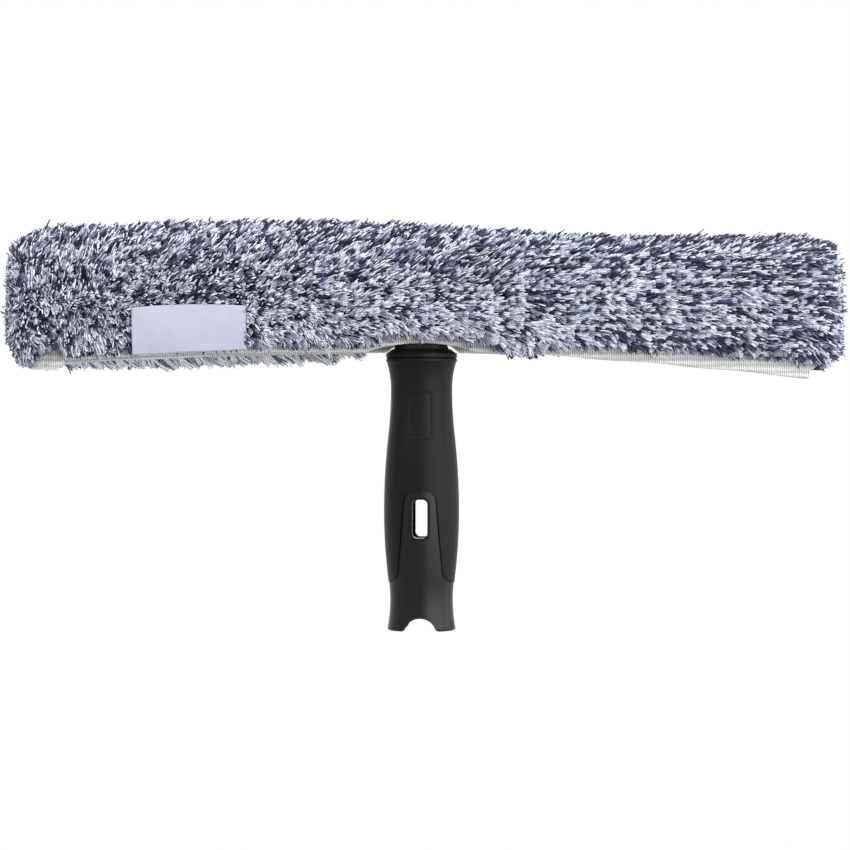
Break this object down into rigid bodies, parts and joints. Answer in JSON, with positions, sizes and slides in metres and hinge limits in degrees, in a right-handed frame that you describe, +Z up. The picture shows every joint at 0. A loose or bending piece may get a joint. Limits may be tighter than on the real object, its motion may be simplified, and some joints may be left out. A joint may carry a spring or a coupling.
{
  "type": "window scrubber",
  "caption": "T-shaped window scrubber: a pile cloth sleeve over a ribbed crossbar, on a handle with a soft grip and a socket for an extension pole.",
  "frame": {"origin": "centre of the mouth of the pole socket, at the lower end of the handle", "axes": "+X along the crossbar to the right seen from the front, +Y to the rear, +Z up the handle; the front with the label faces -Y"},
  "size_m": [0.457, 0.0608, 0.2224],
  "materials": {
    "core_plastic": "satin black moulded plastic",
    "grip_rubber": "matt black soft-touch overmould",
    "bar_plastic": "satin black moulded plastic",
    "screw_steel": "plain steel",
    "pile_cloth": "long pile, slate blue and pale lavender tufts",
    "hem_tape": "white ribbed woven tape",
    "fastener_tape": "white hook and loop tape",
    "label_cloth": "white woven label, bare"
  },
  "bodies": {
    "handle": {"handle_core": "core_plastic", "grip_overmould": "grip_rubber", "t_bar": "bar_plastic", "stem_screw": "screw_steel", "stem_washer": "screw_steel"},
    "sleeve": {"sleeve_fabric": "pile_cloth", "end_panel_left": "pile_cloth", "end_panel_right": "pile_cloth", "front_hem_tape": "hem_tape", "rear_hem_tape": "hem_tape", "hook_tape_left": "fastener_tape", "hook_tape_right": "fastener_tape", "loop_tape_left": "fastener_tape", "loop_tape_right": "fastener_tape", "label": "label_cloth"}
  },
  "joints": [
    {"name": "sleeve_lift", "type": "slide", "parent": "handle", "child": "sleeve", "axis": [0, 0, 1], "range_m": [0, 0.08]}
  ]
}
